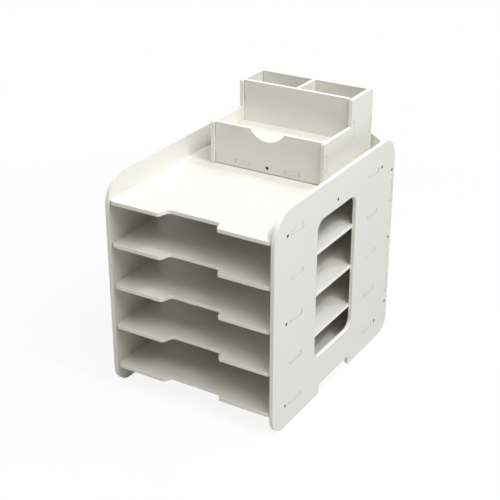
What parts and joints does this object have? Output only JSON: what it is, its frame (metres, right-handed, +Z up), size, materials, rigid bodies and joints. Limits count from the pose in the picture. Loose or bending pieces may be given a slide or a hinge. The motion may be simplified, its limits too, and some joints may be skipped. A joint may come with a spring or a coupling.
{
  "type": "document organizer",
  "caption": "Desktop rack of flat fixed paper shelves between two windowed side panels, with a loose stepped pen and note box standing on top.",
  "frame": {"origin": "on the table, under the middle of the rack's width and depth", "axes": "+X to the right as seen from the open front, -Y out of the open front, +Z up"},
  "size_m": [0.25, 0.335, 0.3726],
  "materials": {
    "board": "warm white foamed plastic board, smooth satin faces and square routed edges",
    "screw_steel": "dark plated countersunk head with a cross recess"
  },
  "bodies": {
    "rack": {"left_side_panel": "board", "right_side_panel": "board", "top_shelf": "board", "upper_shelf": "board", "middle_shelf": "board", "lower_shelf": "board", "bottom_shelf": "board", "back_panel": "board", "left_shelf_screws": "screw_steel", "right_shelf_screws": "screw_steel", "left_back_screws": "screw_steel", "right_back_screws": "screw_steel"},
    "desk_box": {"box_left_side": "board", "box_right_side": "board", "box_front_panel": "board", "box_middle_panel": "board", "box_back_panel": "board", "box_divider": "board", "box_bottom": "board", "box_tray_floor": "board", "box_left_rib": "board", "box_right_rib": "board", "box_front_screw": "screw_steel", "box_back_screw": "screw_steel"}
  },
  "joints": [
    {"name": "desk_box_lift", "type": "slide", "parent": "rack", "child": "desk_box", "axis": [0, 0, 1], "range_m": [0, 0.08]}
  ]
}
